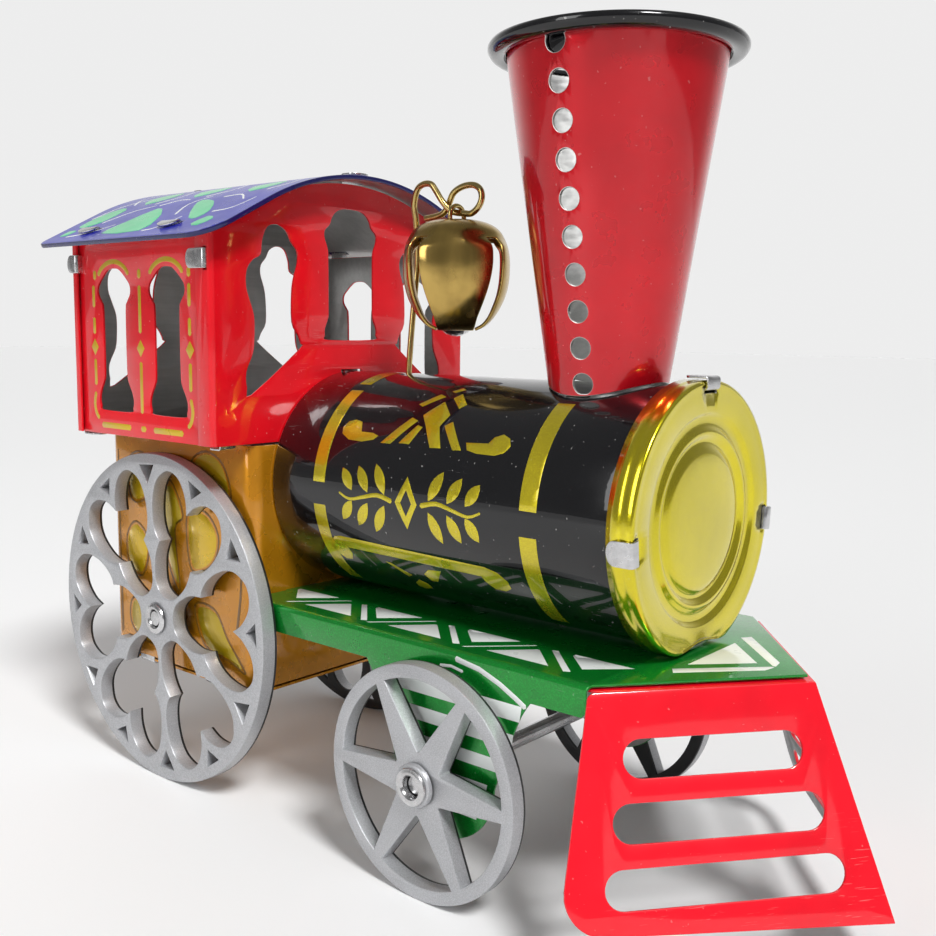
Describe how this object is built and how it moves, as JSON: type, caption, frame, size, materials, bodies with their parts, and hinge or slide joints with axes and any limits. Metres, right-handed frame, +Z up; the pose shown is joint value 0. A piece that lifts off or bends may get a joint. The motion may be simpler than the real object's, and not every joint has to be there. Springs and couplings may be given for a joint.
{
  "type": "toy train locomotive",
  "caption": "Tinplate toy steam locomotive with cab, boiler, flared chimney, hanging bell, slotted cowcatcher and large tracery rear wheels geared to a flywheel",
  "frame": {"origin": "on the floor, under the middle of the locomotive's length and width", "axes": "+X is the way the locomotive faces, +Y is its left side, +Z is up"},
  "size_m": [0.1748, 0.08, 0.1398],
  "materials": {
    "red_tin": "gloss lithographed tinplate",
    "green_tin": "metallic green lithographed tinplate",
    "black_tin": "gloss black lithographed tinplate",
    "blue_tin": "gloss blue lithographed tinplate",
    "orange_tin": "lacquered orange tinplate",
    "gold_tin": "gold lacquer over bright tinplate",
    "brass": "antique brass plating",
    "steel": "plain bright steel",
    "silver_plastic": "silver painted moulded plastic"
  },
  "bodies": {
    "locomotive": {"chassis": "green_tin", "cowcatcher": "red_tin", "boiler_shell": "black_tin", "boiler_front_cover": "gold_tin", "chimney": "red_tin", "chimney_rim": "black_tin", "cab_front_wall": "red_tin", "cab_rear_wall": "red_tin", "cab_side_left": "red_tin", "cab_side_right": "red_tin", "cab_floor": "red_tin", "roof": "blue_tin", "drive_housing": "orange_tin", "housing_base": "orange_tin", "motor_plate_left": "steel", "motor_plate_right": "steel", "motor_pillar_1": "steel", "motor_pillar_2": "steel", "motor_pillar_3": "steel", "motor_pillar_4": "steel", "rear_bush_left": "steel", "rear_bush_right": "steel", "front_bush_left": "steel", "front_bush_right": "steel", "bell_post": "brass"},
    "rear_wheelset": {"rear_axle": "steel", "rear_wheel_left": "silver_plastic", "rear_wheel_right": "silver_plastic", "rear_hub_eyelet_left": "steel", "rear_hub_eyelet_right": "steel", "axle_gear": "brass"},
    "idler_shaft": {"idler_arbor": "steel", "idler_pinion": "brass", "idler_gear": "brass"},
    "flywheel_shaft": {"flywheel_arbor": "steel", "flywheel_pinion": "brass", "flywheel": "steel"},
    "front_wheelset": {"front_axle": "steel", "front_wheel_left": "silver_plastic", "front_wheel_right": "silver_plastic", "front_hub_eyelet_left": "steel", "front_hub_eyelet_right": "steel"},
    "bell": {"bell_shell": "brass", "bell_ring": "brass"},
    "pellet": {"bell_pellet": "steel"}
  },
  "joints": [
    {"name": "rear_wheels_turn", "type": "hinge", "parent": "locomotive", "child": "rear_wheelset", "pos_m": [-0.0534, 0, 0.034], "axis": [0, 1, 0], "continuous": true},
    {"name": "idler_turn", "type": "hinge", "parent": "locomotive", "child": "idler_shaft", "pos_m": [-0.0474, 0, 0.04531], "axis": [0, 1, 0], "continuous": true},
    {"name": "flywheel_turn", "type": "hinge", "parent": "locomotive", "child": "flywheel_shaft", "pos_m": [-0.0534, 0, 0.05661], "axis": [0, 1, 0], "continuous": true},
    {"name": "front_wheels_turn", "type": "hinge", "parent": "locomotive", "child": "front_wheelset", "pos_m": [0.0206, 0, 0.0199], "axis": [0, 1, 0], "continuous": true},
    {"name": "bell_swing", "type": "hinge", "parent": "locomotive", "child": "bell", "pos_m": [0.0005, 0, 0.115], "axis": [1, 0, 0], "range_deg": [-10, 10]},
    {"name": "pellet_rattle", "type": "slide", "parent": "bell", "child": "pellet", "axis": [0, 0, 1], "range_m": [0, 0.006]}
  ],
  "couplings": [
    {"joint": "idler_turn", "follows": "rear_wheels_turn", "ratio": -2.2},
    {"joint": "flywheel_turn", "follows": "rear_wheels_turn", "ratio": 4.84}
  ]
}
